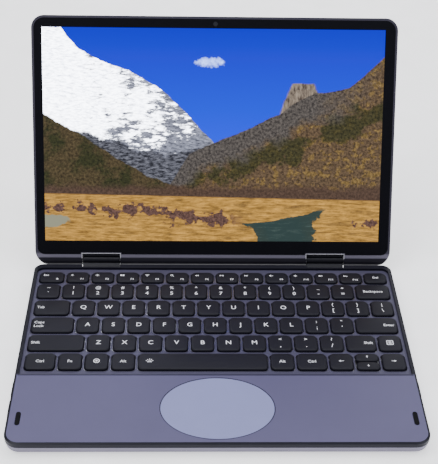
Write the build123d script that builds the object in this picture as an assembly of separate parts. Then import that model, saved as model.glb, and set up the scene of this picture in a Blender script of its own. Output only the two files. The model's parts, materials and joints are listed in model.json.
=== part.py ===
from build123d import *
from math import cos, radians, sin
import os

# A small convertible laptop computer, standing open on its feet, as separate pieces.
# +X is the user's right, +Y is towards the back, +Z is up.
# Base pieces are drawn with y = 0 on the base's front edge, and lid pieces lie flat in the
# lid's own frame. Both are placed by `place`, with the origin under the middle of the open laptop.

# ---- Driving dimensions, in millimetres ------------------------------------------------

WIDTH = 243.0              # base and lid, left to right
DEPTH = 167.2              # base, front edge to rear edge
FRONT_RADIUS = 9.0         # plan corners of the base
REAR_RADIUS = 6.0
FOOT_HEIGHT = 1.2          # air gap under the bottom cover
SPLIT_Z = 6.9              # joint line between bottom cover and top case
DECK_Z = 10.2              # palm rest surface
SIDE_TAPER = 12.0          # degrees, how far the bottom cover leans inwards
WALL = 1.3                 # bottom cover side wall
FLOOR = 1.0                # bottom cover floor
EDGE_WIDE = 1.3            # sloping edge round the top case, seen from above
EDGE_HIGH = 0.7            # and seen from the side

# Keyboard
KEY_LEFT = -117.0          # the key field is symmetrical about x = 0
CAP = 14.74                # standard keycap width
KEY_GAP = 1.5              # between caps in a row
CAP_DEPTH = 14.8
FUNCTION_DEPTH = 11.0
CAP_RADIUS = 2.9
CAP_TOP_Z = 10.15
CAP_HEIGHT = 1.85
CAP_SKIN = 0.8
CAP_CLEARANCE = 0.3
ARROW_GAP = 0.4            # between the up and down arrows, which share one place
PLATE_TOP_Z = 8.5          # keyboard plate, set down below the palm rest
PLATE_THICK = 0.9
PLATE_FRONT = 57.2         # the step between palm rest and keyboard plate
PLATE_REAR = 162.4
PLATE_HALF = 119.2
PLATE_RADIUS = 4.5         # rear corners of the keyboard plate
BOARD_Z = 6.3              # underside of the keyboard's steel base plate
BOARD_HALF = 113.0
FUNCTION_BACK = 158.1      # rear edges of the two rearmost rows of caps
NUMBER_BACK = 145.2
ROW_PITCH = 17.2
ROW_BACKS = {"function": FUNCTION_BACK}
ROW_BACKS |= {row: NUMBER_BACK - step * ROW_PITCH
              for step, row in enumerate(("number", "upper", "home", "lower", "bottom"))}

# Palm rest and the oval touchpad
PALM_THICK = 1.2
PALM_HALF = WIDTH / 2 - EDGE_WIDE
PAD_WIDE = 66.7
PAD_DEEP = 49.8
PAD_ARCS = 16
PAD_Y = 28.7
PAD_THICK = 1.0
PAD_DROP = 0.1             # the pad lies this much below the palm rest
GROOVE = 0.35              # gap round the pad
BUMPER_X = 115.0
BUMPER_Y = 19.8
BUMPER_WIDE = 2.9
BUMPER_LONG = 10.5
BUMPER_SINK = 0.6
BUMPER_HIGH = 0.3          # stands this much above the palm rest

# Hinge: two parallel axes on each side, one in the base and one in the lid
AXIS_IN = 2.8              # base axis, in from the rear edge
AXIS_Z = 5.2
AXIS_SPAN = 9.1            # from the base axis to the lid axis
HINGE_X = 76.7             # middle of each hinge
HINGE_WIDE = 25.2
HINGE_GAP = 0.3
BARREL = 2.85              # outside radius of the hinge housing
WEB_FRONT = 0.6            # front face of the housing, ahead of the line through the axes
HOUSING_WALL = 0.6
SHAFT = 1.1
SHAFT_FIT = 0.05
KNUCKLE = 1.8              # radius of the brackets' knuckles
OPEN_ANGLE = 115.4         # degrees between lid and deck as the laptop stands

# Lid
LID_THICK = 7.0
LID_TOP_RADIUS = 8.5
LID_LOW_RADIUS = 10.5
LID_BACK_FILLET = 2.4
GLASS_THICK = 0.9
GLASS_INSET = 1.6
GLASS_LOW = 4.2            # lower edge of the glass, above the lid axis
LID_NOTCH = 4.7            # top of the hinge notches, above the lid axis
NOTCH_RIM = 0.9            # metal left between the notch and the glass
DISPLAY_X = -0.75
DISPLAY_WIDE = 227.5
DISPLAY_HIGH = 143.0
DISPLAY_DROP = 7.7         # from the lid's top edge to the lit area
CAMERA_DROP = 4.8

# ---- Derived places --------------------------------------------------------------------

AXIS_Y = DEPTH - AXIS_IN
LID_HALF = LID_THICK / 2
LID_TOP = AXIS_Y           # lid's top edge above the lid axis: it closes flush with the front
LINK_TILT = OPEN_ANGLE / 2
LID_TILT = OPEN_ANGLE - 90.0
CASE_FLOOR = FOOT_HEIGHT + FLOOR
PALM_LOW = DECK_Z - PALM_THICK
PLATE_LOW = PLATE_TOP_Z - PLATE_THICK
POCKET = BARREL + HINGE_GAP
SIDES = (-1, 1)

LID_AXIS = (AXIS_Y + AXIS_SPAN * sin(radians(LINK_TILT)), AXIS_Z + AXIS_SPAN * cos(radians(LINK_TILT)))
REAR_REACH = (LID_AXIS[0] + LID_TOP * sin(radians(LID_TILT))
              + LID_HALF * cos(radians(LID_TILT)))
FRONT_Y = -REAR_REACH / 2

BASE_FRAME = Location((0, FRONT_Y, 0))


def tilted_frame(y, z, tilt):
    """Frame on the X axis at (y, z): its y leans back by tilt from upright, its z faces the user."""
    normal = (0, -cos(radians(tilt)), sin(radians(tilt)))
    return Plane(origin=(0, y + FRONT_Y, z), x_dir=(1, 0, 0), z_dir=normal).location


LINK_FRAME = tilted_frame(AXIS_Y, AXIS_Z, LINK_TILT)
LID_FRAME = tilted_frame(LID_AXIS[0], LID_AXIS[1], LID_TILT)


def place(name, pieces, frame=BASE_FRAME):
    """Write one node: its pieces stay separate solids, moved into the laptop's frame."""
    pieces = pieces if isinstance(pieces, list) else [pieces]
    solids = [frame * solid for piece in pieces for solid in piece.solids()]
    shape = solids[0] if len(solids) == 1 else Compound(children=solids)
    export_step(shape, f"parts/{name}.step")


# ---- Small helpers ---------------------------------------------------------------------

def block(x0, x1, y0, y1, z0, z1):
    return Pos((x0 + x1) / 2, (y0 + y1) / 2, (z0 + z1) / 2) * Box(x1 - x0, y1 - y0, z1 - z0)


def disc(x, y, radius, z0, z1):
    return Pos(x, y, (z0 + z1) / 2) * Cylinder(radius, z1 - z0)


def rod(x0, x1, y, z, radius):
    """Round bar along X."""
    return Pos((x0 + x1) / 2, y, z) * Rot(0, 90, 0) * Cylinder(radius, x1 - x0)


def rounded(x0, x1, y0, y1, front, rear):
    """Rectangle with one radius on its two front corners and one on its two rear corners."""
    sketch = Pos((x0 + x1) / 2, (y0 + y1) / 2) * Rectangle(x1 - x0, y1 - y0)
    if front > 0:
        sketch = fillet(sketch.vertices().sort_by(Axis.Y)[:2], front)
    if rear > 0:
        sketch = fillet(sketch.vertices().sort_by(Axis.Y)[-2:], rear)
    return sketch


def slab(sketch, z0, z1):
    return extrude(Pos(0, 0, z0) * sketch, z1 - z0)


def side_slot(x0, x1, y, z, long, high):
    """Round-ended bar along X, with its long way along Y."""
    mouth = Plane(origin=(x0, y, z), x_dir=(0, 1, 0), z_dir=(1, 0, 0))
    return extrude(mouth * SlotOverall(long, high), x1 - x0)


def plan(inset=0.0):
    """Outline of the base seen from above."""
    half = WIDTH / 2 - inset
    return rounded(-half, half, inset, DEPTH - inset, FRONT_RADIUS - inset, REAR_RADIUS - inset)


def tub(inset, z_low, edge_radius):
    """Solid below the split line that leans inwards and has a rounded lower edge."""
    body = extrude(Pos(0, 0, SPLIT_Z) * plan(inset), SPLIT_Z - z_low, dir=(0, 0, -1), taper=SIDE_TAPER)
    return fillet(body.faces().sort_by(Axis.Z)[0].edges(), edge_radius)


def hinge_span(side, grow=0.0):
    """The x limits of one hinge housing."""
    half = HINGE_WIDE / 2 + grow
    return side * HINGE_X - half, side * HINGE_X + half


def both_ends(side, near, far):
    """The x limits, left first, of a piece near and far from the middle on one side."""
    return sorted((side * near, side * far))


def inner_span(side, near, far):
    """The x limits of a piece that stands inboard of a hinge, near and far from the housing."""
    face = HINGE_X - HINGE_WIDE / 2
    return both_ends(side, face - near, face - far)


def hinge_notch(side, grow=0.0):
    """What the swinging housing needs in the base; grow adds the wall round it."""
    x0, x1 = hinge_span(side, HINGE_GAP + grow)
    low = -AXIS_SPAN
    ahead = AXIS_Y - POCKET - grow
    return (rod(x0, x1, AXIS_Y, AXIS_Z, POCKET + grow)
            + block(x0, x1, AXIS_Y - WEB_FRONT - HINGE_GAP - grow, DEPTH + 1, AXIS_Z, DECK_Z + 1)
            + block(x0, x1, ahead, DEPTH + 1, low, AXIS_Z))


# ---- Keyboard layout -------------------------------------------------------------------

def lay_out(keys):
    """Give each (node, width) of a row its left and right x, from the left end of the key field."""
    left = KEY_LEFT
    placed = []
    for node, width in keys:
        placed.append((node, left, left + width))
        left += width + KEY_GAP
    return placed


def fill_last(keys, node):
    """Close a row with a key that reaches the right end of the key field."""
    used = sum(width + KEY_GAP for _, width in keys)
    return keys + [(node, -2 * KEY_LEFT - used)]


FUNCTION_CAP = (-2 * KEY_LEFT - 16.5) / 13 - KEY_GAP
CTRL_CAP = 18.7
BOTTOM_LEFT = [("left_ctrl_key", CTRL_CAP), ("fn_key", CAP), ("symbol_key", CAP), ("left_alt_key", CAP)]
BOTTOM_RIGHT = [("right_alt_key", CAP), ("right_ctrl_key", CTRL_CAP), ("arrow_left_key", CAP),
                ("arrow_up_key", CAP), ("arrow_right_key", CAP)]
SPACE = -2 * KEY_LEFT - sum(width + KEY_GAP for _, width in BOTTOM_LEFT + BOTTOM_RIGHT)

ROWS = {
    "function": [("escape_key", 16.5)] + [("function_keys", FUNCTION_CAP)] * 13,
    "number": fill_last([("number_keys", 15.0)] + [("number_keys", CAP)] * 12, "backspace_key"),
    "upper": fill_last([("tab_key", 23.0)] + [("upper_letter_keys", CAP)] * 12, "upper_letter_keys"),
    "home": fill_last([("caps_lock_key", 27.0)] + [("home_letter_keys", CAP)] * 11, "enter_key"),
    "lower": [("left_shift_key", 35.0)] + [("lower_letter_keys", CAP)] * 10
             + [("right_shift_key", 18.9), ("menu_key", 14.7)],
    "bottom": BOTTOM_LEFT + [("space_bar", SPACE)] + BOTTOM_RIGHT,
}


def key_boxes():
    """Every keycap as (node, x0, x1, y0, y1); the up and down arrows share one place."""
    boxes = []
    for row, keys in ROWS.items():
        back = ROW_BACKS[row]
        front = back - (FUNCTION_DEPTH if row == "function" else CAP_DEPTH)
        for node, x0, x1 in lay_out(keys):
            if node == "arrow_up_key":
                middle = (front + back) / 2
                boxes.append(("arrow_up_key", x0, x1, middle + ARROW_GAP / 2, back))
                boxes.append(("arrow_down_key", x0, x1, front, middle - ARROW_GAP / 2))
            else:
                boxes.append((node, x0, x1, front, back))
    return boxes


KEYS = key_boxes()


def keycap(x0, x1, y0, y1):
    """Hollow cap with sloping sides and a softened top edge."""
    radius = min(CAP_RADIUS, (y1 - y0) / 3)
    low = CAP_TOP_Z - CAP_HEIGHT
    cap = extrude(Pos(0, 0, low) * rounded(x0, x1, y0, y1, radius, radius), CAP_HEIGHT, taper=10)
    cap = fillet(cap.faces().sort_by(Axis.Z)[-1].edges(), 0.25)
    hollow = rounded(x0 + 1.3, x1 - 1.3, y0 + 1.3, y1 - 1.3, radius / 2, radius / 2)
    return cap - slab(hollow, low, CAP_TOP_Z - CAP_SKIN)


# ---- Base: shells ----------------------------------------------------------------------

SCREW_PLACES = ([(side * 110.0, y) for side in SIDES for y in (48.5, 6.5)]
                + [(side * 66.0, PLATE_FRONT) for side in SIDES]
                + [(side * x, 163.2) for side in SIDES for x in (104.0, 28.0)])
LEDGE = 1.6                # the top case holds the palm rest's edge by this much
STEP_LEDGE = 2.2           # and both plates where they meet
BOSS = 2.2                 # radii of the screw bosses, screws and their heads
SCREW = 1.0
SCREW_HEAD = 1.9
SCREW_HEAD_HIGH = 0.8
SCREW_TOP = 7.4
FOOT_PLACES = [(side * 92.0, y) for side in SIDES for y in (14.0, 146.0)]
FOOT_LONG = 26.0
FOOT_WIDE = 6.0
FOOT_SINK = 0.4
PORT_Z = 4.6
PORT_PLACES = (118.0, 134.0)
PORT_LONG = 8.94
PORT_HIGH = 3.16
PORT_DEEP = 7.3
JACK_Y = 128.0
JACK_RADIUS = 1.75
JACK_DEEP = 12.0
BUTTON_Z = 7.9
BUTTON_HIGH = 1.5
BUTTON_LONG = 12.0
BUTTON_OUT = 0.4
BUTTONS = {"power_button": (1, 46.0), "volume_up_button": (-1, 46.0), "volume_down_button": (-1, 30.0)}
FAN_X = 30.0
FAN_Y = 124.0
FAN_HALF = 22.0
FAN_LOW = 2.5
FAN_TOP = 6.1
FIN_FRONT = 147.0
FIN_REAR = 156.0


def foot_pad(x, y, long, wide, z0, z1):
    return slab(Pos(x, y) * SlotOverall(long, wide), z0, z1)


def floor_slots():
    """Air intake under the fan and sound slots under the speakers."""
    low, high = FOOT_HEIGHT - 1, CASE_FLOOR + 1
    slots = [foot_pad(FAN_X, FAN_Y - 12 + 3.0 * i, 24.0, 1.4, low, high) for i in range(9)]
    for side in SIDES:
        slots += [foot_pad(side * 106.0, 24.0 + 3.0 * i, 8.0, 1.2, low, high) for i in range(6)]
    return slots


def rear_slots():
    """Warm air leaves between the hinges."""
    return [block(x - 1.3, x + 1.3, DEPTH - 4.0, DEPTH + 1, 3.3, 5.9)
            for x in (FAN_X - 20.0 + 4.0 * i for i in range(11))]


def side_openings():
    """Sockets in the two side walls of the bottom cover."""
    half = WIDTH / 2
    cuts = [side_slot(-half - 1, -half + 4, y, PORT_Z, PORT_LONG + 0.3, PORT_HIGH + 0.3)
            for y in PORT_PLACES]
    return cuts + [rod(half - 4, half + 1, JACK_Y, PORT_Z, JACK_RADIUS + 0.35)]


def knuckle_room(side):
    """Hollow for a bracket's knuckle and the hole for its shaft through the notch wall."""
    x0, x1 = inner_span(side, 1.2, 8.2)
    s0, s1 = inner_span(side, -1.0, 2.0)
    return (rod(x0, x1, AXIS_Y, AXIS_Z, KNUCKLE + 0.1)
            + block(x0, x1, AXIS_Y - 6.0, AXIS_Y, AXIS_Z - KNUCKLE - 0.1, AXIS_Z + KNUCKLE + 0.1)
            + rod(s0, s1, AXIS_Y, AXIS_Z, SHAFT + 0.2))


def bottom_cover():
    cover = tub(0.0, FOOT_HEIGHT, 3.0)
    room = tub(WALL, CASE_FLOOR, 2.0)
    for side in SIDES:
        room -= hinge_notch(side, 0.8)
    for x, y in SCREW_PLACES:
        room -= disc(x, y, BOSS, CASE_FLOOR, SPLIT_Z)
    for side in SIDES:
        x0, x1 = inner_span(side, 1.6, 13.5)
        room -= block(x0, x1, AXIS_Y - 13.5, AXIS_Y - 4.5, CASE_FLOOR, 3.6)
    cover -= room
    for side in SIDES:
        cover -= hinge_notch(side)
        cover -= knuckle_room(side)
        for x, y in base_screw_places(side):
            cover -= disc(x, y, SCREW, 2.2, 4.0)
    for x, y in SCREW_PLACES:
        cover -= disc(x, y, SCREW + 0.05, FOOT_HEIGHT - 1, SPLIT_Z + 1)
        cover -= disc(x, y, SCREW_HEAD + 0.1, FOOT_HEIGHT - 1, FOOT_HEIGHT + SCREW_HEAD_HIGH)
    for x, y in FOOT_PLACES:
        cover -= foot_pad(x, y, FOOT_LONG, FOOT_WIDE, FOOT_HEIGHT - 1, FOOT_HEIGHT + FOOT_SINK)
    for cut in floor_slots() + rear_slots() + side_openings():
        cover -= cut
    return cover


def top_case():
    """Frame with a sloping outer edge, a window for the keyboard and one for the palm rest."""
    case = slab(plan(), SPLIT_Z, DECK_Z)
    top = case.faces().sort_by(Axis.Z)[-1]
    case = chamfer(top.edges(), EDGE_WIDE, EDGE_HIGH, reference=top)
    palm_radius = FRONT_RADIUS - EDGE_WIDE
    case -= slab(rounded(-PALM_HALF, PALM_HALF, EDGE_WIDE, PLATE_FRONT, palm_radius, 0), PALM_LOW, DECK_Z)
    outline = rounded(-PLATE_HALF, PLATE_HALF, PLATE_FRONT, PLATE_REAR, 0, PLATE_RADIUS)
    case -= slab(outline, PLATE_LOW, DECK_Z)
    inner_palm = rounded(-PALM_HALF + LEDGE, PALM_HALF - LEDGE, EDGE_WIDE + LEDGE, PLATE_FRONT - STEP_LEDGE,
                         6, 1)
    inner_keys = rounded(-PLATE_HALF + 1, PLATE_HALF - 1, PLATE_FRONT + STEP_LEDGE, PLATE_REAR - 3.4, 1, 3)
    posts = [disc(x, y, BOSS, SPLIT_Z, PLATE_LOW) for x, y in SCREW_PLACES if y >= PLATE_FRONT]
    windows = slab(inner_palm, SPLIT_Z, DECK_Z) + slab(inner_keys, SPLIT_Z, DECK_Z)
    for post in posts:
        windows -= post
    case -= windows
    for side in SIDES:
        case -= hinge_notch(side)
        case -= knuckle_room(side)
    for x, y in SCREW_PLACES:
        case -= disc(x, y, SCREW + 0.05, SPLIT_Z - 1, SCREW_TOP + 0.1)
    for side, y in BUTTONS.values():
        x0, x1 = both_ends(side, PALM_HALF - LEDGE - 1, WIDTH / 2 + 1)
        case -= side_slot(x0, x1, y, BUTTON_Z, BUTTON_LONG + 0.4, BUTTON_HIGH + 0.4)
    return case


def pad_outline(grow=0.0):
    """The touchpad is an oval that lies across the palm rest, drawn as short arcs through an ellipse."""
    turns = [radians(360 * i / (2 * PAD_ARCS)) for i in range(2 * PAD_ARCS)]
    spots = [((PAD_WIDE / 2 + grow) * cos(turn), PAD_Y + (PAD_DEEP / 2 + grow) * sin(turn)) for turn in turns]
    arcs = [ThreePointArc(spots[i - 2], spots[i - 1], spots[i]) for i in range(0, len(spots), 2)]
    return make_face(arcs)


def palm_rest():
    """Satin plate in front of the keyboard, with the touchpad window and two bumper seats."""
    radius = FRONT_RADIUS - EDGE_WIDE
    plate = slab(rounded(-PALM_HALF, PALM_HALF, EDGE_WIDE, PLATE_FRONT, radius, 0), PALM_LOW, DECK_Z)
    plate -= slab(pad_outline(GROOVE), PALM_LOW, DECK_Z)
    for side in SIDES:
        plate -= bumper_shape(side, 0.0, DECK_Z - BUMPER_SINK, DECK_Z + 1)
    for x, y in SCREW_PLACES:
        if y < PLATE_FRONT - BOSS:
            plate += disc(x, y, BOSS, SPLIT_Z, PALM_LOW)
            plate -= disc(x, y, SCREW + 0.05, SPLIT_Z, SCREW_TOP + 0.1)
    return plate


def bumper_shape(side, grow, z0, z1):
    seat = Rot(0, 0, 90) * SlotOverall(BUMPER_LONG + grow, BUMPER_WIDE + grow)
    return slab(Pos(side * BUMPER_X, BUMPER_Y) * seat, z0, z1)


def deck_bumpers():
    """Soft stops that keep the closed lid off the palm rest."""
    return [bumper_shape(side, -0.1, DECK_Z - BUMPER_SINK, DECK_Z + BUMPER_HIGH) for side in SIDES]


def keyboard_plate():
    """Sunken plate with one window for each keycap."""
    outline = rounded(-PLATE_HALF, PLATE_HALF, PLATE_FRONT, PLATE_REAR, 0, PLATE_RADIUS)
    plate = slab(outline, PLATE_LOW, PLATE_TOP_Z)
    grow = CAP_CLEARANCE
    windows = []
    for node, x0, x1, y0, y1 in KEYS:
        if node == "arrow_down_key":
            continue
        if node == "arrow_up_key":
            y0 = y1 - CAP_DEPTH
        windows.append(slab(rounded(x0 - grow, x1 + grow, y0 - grow, y1 + grow, CAP_RADIUS, CAP_RADIUS),
                            PLATE_LOW, PLATE_TOP_Z))
    return plate - windows


def keyboard_base_plate():
    """Steel sheet and switch membrane under the keys."""
    y0 = ROW_BACKS["bottom"] - CAP_DEPTH
    sheet = slab(rounded(-BOARD_HALF, BOARD_HALF, y0, ROW_BACKS["function"], 2, 2), BOARD_Z, BOARD_Z + 0.6)
    for side in SIDES:
        x0, x1 = hinge_span(side, 1.6)
        sheet -= block(x0, x1, AXIS_Y - POCKET - 1.6, DEPTH, BOARD_Z - 1, BOARD_Z + 1)
    return sheet


def key_domes():
    """One rubber dome under the middle of each keycap, at its pressed height."""
    z0 = BOARD_Z + 0.6
    domes = []
    for _, x0, x1, y0, y1 in KEYS:
        dome = Pos((x0 + x1) / 2, (y0 + y1) / 2, z0 + 0.45) * Cone(2.2, 1.3, 0.9)
        domes.append(dome)
    return domes


def touchpad():
    top = DECK_Z - PAD_DROP
    return slab(pad_outline(), top - PAD_THICK, top)


def touchpad_frame():
    """Open bracket under the touchpad, hung by its two lips from the underside of the palm rest."""
    half = PAD_WIDE / 2 + 4
    lip = 2.0
    sheet_top = PALM_LOW - 0.8
    y0 = PAD_Y - PAD_DEEP / 2 - 0.6
    y1 = PLATE_FRONT - 2.4
    frame = block(-half, half, y0, y1, sheet_top - 0.6, sheet_top)
    for side in SIDES:
        x0, x1 = both_ends(side, half - lip, half)
        frame += block(x0, x1, y0, y1, sheet_top, PALM_LOW)
    return frame - block(-24, 24, PAD_Y - 14, PAD_Y + 14, sheet_top - 1, PALM_LOW)


def case_screws():
    screws = []
    for x, y in SCREW_PLACES:
        head = disc(x, y, SCREW_HEAD, FOOT_HEIGHT + 0.1, FOOT_HEIGHT + SCREW_HEAD_HIGH)
        socket = Pos(x, y, FOOT_HEIGHT) * extrude(RegularPolygon(0.8, 6), 0.6)
        screws.append(head + disc(x, y, SCREW, FOOT_HEIGHT + SCREW_HEAD_HIGH, SCREW_TOP) - socket)
    return screws


def rubber_feet():
    return [foot_pad(x, y, FOOT_LONG - 0.1, FOOT_WIDE - 0.1, 0, FOOT_HEIGHT + FOOT_SINK)
            for x, y in FOOT_PLACES]


# ---- Base: what is inside --------------------------------------------------------------

BOARD_TOP = 4.2
CPU_X = -30.0
CPU_Y = 122.0
CELL_X = 64.0
CELL_WIDE = 60.0


def mainboard():
    """Circuit board with its chips standing on it, and four stand-offs down to the cover."""
    board = block(-112.5, 4.0, 66.0, 148.0, BOARD_TOP - 1.0, BOARD_TOP)
    chips = [block(CPU_X - 12, CPU_X + 12, CPU_Y - 12, CPU_Y + 12, BOARD_TOP, BOARD_TOP + 0.8)]
    chips += [block(-72.0 + 16 * i, -62.0 + 16 * i, 88.0, 100.0, BOARD_TOP, BOARD_TOP + 1.0)
              for i in range(4)]
    chips += [block(-100.0, -92.0, y, y + 8, BOARD_TOP, BOARD_TOP + 1.1) for y in (72.0, 86.0, 100.0)]
    coils = [block(-62.0, -56.0, y, y + 6, BOARD_TOP, BOARD_TOP + 1.6) for y in (110.0, 119.0, 128.0)]
    posts = [disc(x, y, 2.4, CASE_FLOOR, BOARD_TOP - 1.0)
             for x in (-106.0, -2.0) for y in (76.0, 142.0)]
    return [board] + chips + coils + posts


def heat_pipe():
    """Flat copper pipe from the processor to a stack of fins behind the fan."""
    low, high = BOARD_TOP + 0.8, BOARD_TOP + 2.0
    pipe = block(CPU_X - 13, CPU_X + 13, CPU_Y - 13, CPU_Y + 13, low, low + 0.5)
    pipe += block(CPU_X - 4, CPU_X + 4, CPU_Y - 10, FIN_REAR - 1, low, high)
    pipe += block(CPU_X - 4, FAN_X + FAN_HALF, FIN_REAR - 7, FIN_REAR - 1, low, high)
    fins = [block(FAN_X - FAN_HALF + 2.0 * i, FAN_X - FAN_HALF + 0.5 + 2.0 * i, FIN_FRONT, FIN_REAR,
                  CASE_FLOOR + 0.3, low) for i in range(22)]
    for fin in fins:
        pipe += fin
    return pipe


def fan_housing():
    """Flat blower case, open above and below the hub and at the back."""
    wall = 0.6
    shell = block(FAN_X - FAN_HALF, FAN_X + FAN_HALF, FAN_Y - FAN_HALF, FAN_Y + FAN_HALF, FAN_LOW, FAN_TOP)
    low, high = FAN_LOW + wall, FAN_TOP - wall
    shell -= disc(FAN_X, FAN_Y, FAN_HALF - wall, low, high)
    shell -= block(FAN_X - FAN_HALF + wall, FAN_X + FAN_HALF - wall, FAN_Y, FAN_Y + FAN_HALF + 1, low, high)
    for z0, z1 in ((FAN_LOW, low), (high, FAN_TOP)):
        shell -= disc(FAN_X, FAN_Y, 12.5, z0, z1)
    bridge = block(FAN_X - 13, FAN_X + 13, FAN_Y - 2, FAN_Y + 2, FAN_LOW, low)
    return shell + bridge + disc(FAN_X, FAN_Y, SHAFT, low, high)


def fan_impeller():
    low, high = FAN_LOW + 1.0, FAN_TOP - 1.0
    hub = disc(FAN_X, FAN_Y, 8.0, low, high)
    blade = block(7.6, 18.0, -0.35, 0.35, low, high)
    wheel = hub + disc(FAN_X, FAN_Y, 17.0, low, low + 0.4)
    for i in range(19):
        wheel += Pos(FAN_X, FAN_Y) * Rot(0, 0, i * 360 / 19) * blade
    return wheel - disc(FAN_X, FAN_Y, SHAFT + SHAFT_FIT, low - 1, high + 1)


def battery_cells():
    return [slab(rounded(x - CELL_WIDE / 2, x + CELL_WIDE / 2, 9.0, 51.5, 3, 3), CASE_FLOOR + 0.2, 6.6)
            for x in (-CELL_X, 0.0, CELL_X)]


def speakers():
    """Sound boxes, one at each front corner."""
    boxes = []
    for side in SIDES:
        x0, x1 = both_ends(side, 97.5, 114.0)
        boxes.append(slab(rounded(x0, x1, 11.5, 43.0, 2, 2), CASE_FLOOR + 0.1, 6.2))
    return boxes


def ssd_module():
    stick = block(60.0, 102.0, 66.0, 88.0, 3.4, 4.2)
    chips = [block(x, x + 12.0, 70.0, 84.0, 4.2, 5.4) for x in (66.0, 84.0)]
    return [stick] + chips + [disc(99.0, 77.0, 2.0, CASE_FLOOR, 3.4)]


def wifi_card():
    return [block(60.0, 90.0, 96.0, 118.0, 3.4, 4.2), block(64.0, 84.0, 99.0, 115.0, 4.2, 5.6),
            disc(87.5, 107.0, 2.0, CASE_FLOOR, 3.4)]


def usb_c_ports():
    """Metal sockets with the thin tongue inside."""
    ports = []
    x0 = -WIDTH / 2 + 0.6
    for y in PORT_PLACES:
        shell = side_slot(x0, x0 + PORT_DEEP, y, PORT_Z, PORT_LONG, PORT_HIGH)
        shell -= side_slot(x0 - 1, x0 + PORT_DEEP - 0.8, y, PORT_Z, PORT_LONG - 0.6, PORT_HIGH - 0.6)
        ports.append(shell + block(x0 + 1.0, x0 + PORT_DEEP - 0.8, y - 3.3, y + 3.3, PORT_Z - 0.35,
                                   PORT_Z + 0.35))
    return ports


def audio_jack():
    """Block with a round bore, and a collar that shows in the side wall."""
    mouth = WIDTH / 2 - 0.5
    body = block(mouth - JACK_DEEP - 1.5, mouth - 3.6, JACK_Y - 3.0, JACK_Y + 3.0, CASE_FLOOR + 0.1,
                 PORT_Z + 1.65)
    body += rod(mouth - 4.0, mouth, JACK_Y, PORT_Z, JACK_RADIUS + 0.3)
    bore = rod(mouth - JACK_DEEP, mouth + 1, JACK_Y, PORT_Z, JACK_RADIUS)
    return body - bore


def side_button(name):
    """Slim button through the side wall, with a flange that stops it falling out."""
    side, y = BUTTONS[name]
    inner = PALM_HALF - LEDGE
    x0, x1 = both_ends(side, inner - 0.2, WIDTH / 2 + BUTTON_OUT)
    stem = side_slot(x0, x1, y, BUTTON_Z, BUTTON_LONG, BUTTON_HIGH)
    x0, x1 = both_ends(side, inner - 1.3, inner - 0.1)
    flange = block(x0, x1, y - BUTTON_LONG / 2 - 1.2, y + BUTTON_LONG / 2 + 1.2, SPLIT_Z + 0.1,
                   PALM_LOW - 0.1)
    return stem + flange


def button_switches():
    """Small switch behind each side button, short of its pressed flange."""
    switches = []
    for side, y in BUTTONS.values():
        x0, x1 = both_ends(side, PALM_HALF - 7.2, PALM_HALF - 3.5)
        switches.append(block(x0, x1, y - 3, y + 3, SPLIT_Z + 0.1, PALM_LOW))
    return switches


# ---- Hinge -----------------------------------------------------------------------------

SHAFT_END = 20.0           # how far the shafts reach into the housing
LEAF_THICK = 1.2


def base_screw_places(side):
    x0, x1 = inner_span(side, 5.0, 10.0)
    return [((x0 + x1) / 2, AXIS_Y - 11.0)]


def hinge_bracket(side, leaf_z, leaf_from, leaf_to, axis_y=0.0, axis_z=0.0):
    """Steel leaf, its knuckle on the axis, and the shaft riveted in the knuckle."""
    k0, k1 = inner_span(side, 1.4, 7.9)
    s0, s1 = inner_span(side, -SHAFT_END, 7.9)
    l0, l1 = inner_span(side, 1.8, 13.0)
    knuckle = rod(k0, k1, axis_y, axis_z, KNUCKLE)
    leaf = block(l0, l1, leaf_from, leaf_to, leaf_z, leaf_z + LEAF_THICK)
    reach = block(k0 + 0.4, k1 - 0.4, min(axis_y, leaf_to), max(axis_y, leaf_from),
                  min(axis_z, leaf_z), max(axis_z, leaf_z + LEAF_THICK))
    return knuckle + leaf + reach + rod(s0, s1, axis_y, axis_z, SHAFT)


def hinge_base_brackets():
    brackets = []
    for side in SIDES:
        bracket = hinge_bracket(side, 3.6, AXIS_Y - 14.0, AXIS_Y - 3.0, AXIS_Y, AXIS_Z)
        for x, y in base_screw_places(side):
            bracket -= disc(x, y, SCREW + 0.05, 3.0, 6.0)
        brackets.append(bracket)
    return brackets


def hinge_lid_brackets():
    brackets = []
    for side in SIDES:
        bracket = hinge_bracket(side, -2.3, 2.0, 19.0)
        for x, y in lid_screw_places(side):
            bracket -= disc(x, y, SCREW + 0.05, -3.0, 0.0)
        brackets.append(bracket)
    return brackets


def lid_screw_places(side):
    x0, x1 = inner_span(side, 5.0, 10.0)
    return [((x0 + x1) / 2, y) for y in (9.5, 15.5)]


def bracket_screw(x, y, z0, z1, head):
    return disc(x, y, SCREW, z0, z1) + disc(x, y, SCREW_HEAD, z1, z1 + head)


def base_bracket_screws():
    return [bracket_screw(x, y, 2.4, 4.8, 0.6) for side in SIDES for x, y in base_screw_places(side)]


def lid_screws():
    return [bracket_screw(x, y, -2.9, -1.1, 0.5) for side in SIDES for x, y in lid_screw_places(side)]


def housing_section(inset):
    """Section of a hinge housing in the link's frame: round ends, flat front between them."""
    radius = BARREL - inset
    front = WEB_FRONT - inset
    lower = Pos(0, 0) * Circle(radius)
    upper = Pos(AXIS_SPAN, 0) * Circle(radius)
    web = Pos(AXIS_SPAN / 2, (front - radius) / 2) * Rectangle(AXIS_SPAN, front + radius)
    return lower + upper + web


def housing_bar(x0, x1, inset):
    """The section as a bar along X: the section's x runs up the link, its y to the front."""
    plane = Plane(origin=(x0, 0, 0), x_dir=(0, 1, 0), z_dir=(1, 0, 0))
    return extrude(plane * housing_section(inset), x1 - x0)


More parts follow.
